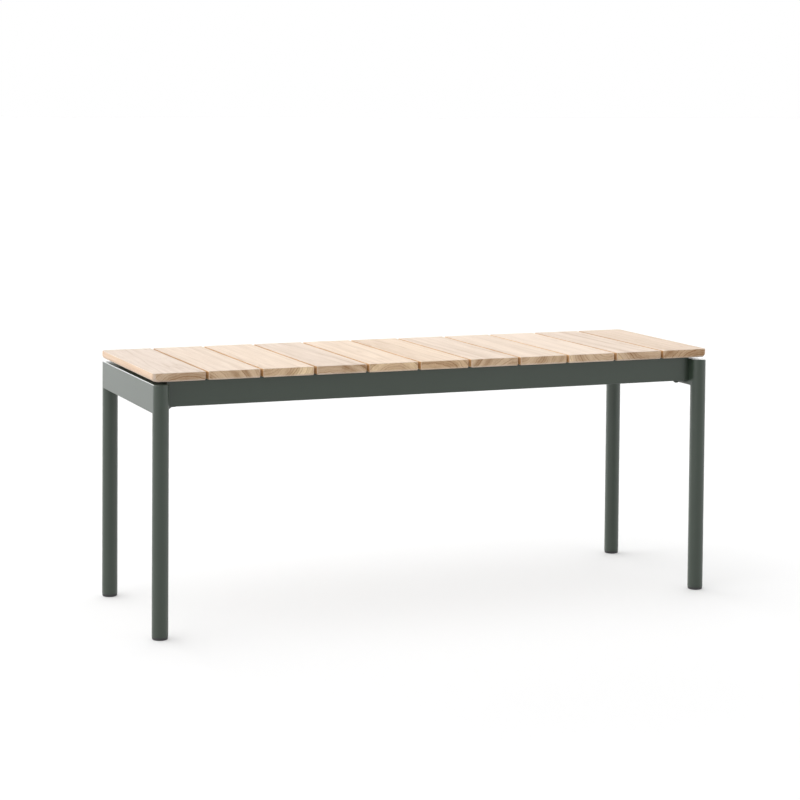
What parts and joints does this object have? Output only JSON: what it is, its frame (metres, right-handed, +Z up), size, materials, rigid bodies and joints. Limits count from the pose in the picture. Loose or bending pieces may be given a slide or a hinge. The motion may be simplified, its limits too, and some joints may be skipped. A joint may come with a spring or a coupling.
{
  "type": "backless bench",
  "caption": "Backless outdoor bench with wooden slats laid crosswise on a metal frame of round tube legs and deep rails, on low plastic glides.",
  "frame": {"origin": "on the ground, under the middle of the seat", "axes": "+X along the bench, +Y from the front long side to the back one, +Z up out of the seat"},
  "size_m": [1.0664, 0.353, 0.45],
  "materials": {
    "teak": "planed and sanded, untreated pale teak",
    "powder_coated_aluminium": "satin grey-green powder coat",
    "glide_plastic": "moulded, fine matt texture",
    "stainless_steel": "plain rolled and turned",
    "coated_stainless_steel": "satin grey-green powder coat over stainless steel"
  },
  "bodies": {
    "root": {"cross_stretcher": "powder_coated_aluminium", "end_rail_left": "powder_coated_aluminium", "end_rail_right": "powder_coated_aluminium", "foot_glide_back_left": "glide_plastic", "foot_glide_back_right": "glide_plastic", "foot_glide_front_left": "glide_plastic", "foot_glide_front_right": "glide_plastic", "joint_bolts": "coated_stainless_steel", "joint_washers": "coated_stainless_steel", "leg_back_left": "powder_coated_aluminium", "leg_back_right": "powder_coated_aluminium", "leg_cap_back_left": "powder_coated_aluminium", "leg_cap_back_right": "powder_coated_aluminium", "leg_cap_front_left": "powder_coated_aluminium", "leg_cap_front_right": "powder_coated_aluminium", "leg_front_left": "powder_coated_aluminium", "leg_front_right": "powder_coated_aluminium", "long_rail_back": "powder_coated_aluminium", "long_rail_front": "powder_coated_aluminium", "nut_plates": "stainless_steel", "slat_01": "teak", "slat_02": "teak", "slat_03": "teak", "slat_04": "teak", "slat_05": "teak", "slat_06": "teak", "slat_07": "teak", "slat_08": "teak", "slat_09": "teak", "slat_10": "teak", "slat_11": "teak", "slat_screws": "stainless_steel", "support_tab_back_left": "powder_coated_aluminium", "support_tab_back_right": "powder_coated_aluminium", "support_tab_front_left": "powder_coated_aluminium", "support_tab_front_right": "powder_coated_aluminium"}
  },
  "joints": []
}
